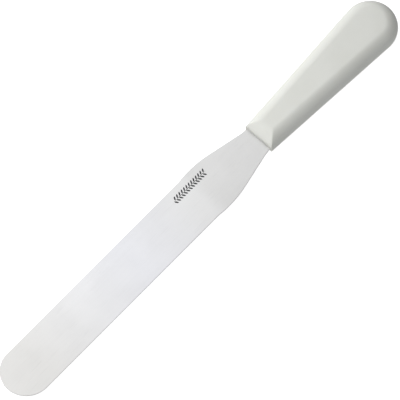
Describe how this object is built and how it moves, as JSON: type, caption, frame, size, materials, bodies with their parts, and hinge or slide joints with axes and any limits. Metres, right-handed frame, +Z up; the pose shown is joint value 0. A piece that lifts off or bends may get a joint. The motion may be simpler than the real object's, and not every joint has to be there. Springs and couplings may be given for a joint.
{
  "type": "palette knife",
  "caption": "Catering palette knife: a long round-ended flexible steel blade with a tapering moulded plastic handle, for spreading, smoothing and lifting.",
  "frame": {"origin": "under the middle of the knife's length, on the plane of the handle's flat underside", "axes": "+X along the knife from the blade's tip to the handle's butt, +Y across the blade, +Z up, square to the blade's faces"},
  "size_m": [0.388, 0.039, 0.019],
  "materials": {
    "blade_steel": "satin-polished stainless spring steel",
    "core_plastic": "natural polypropylene, as moulded, hidden",
    "grip_plastic": "white polypropylene with a fine spark-eroded texture"
  },
  "bodies": {
    "root": {"blade": "blade_steel", "handle_core": "core_plastic", "handle_grip": "grip_plastic"}
  },
  "joints": []
}
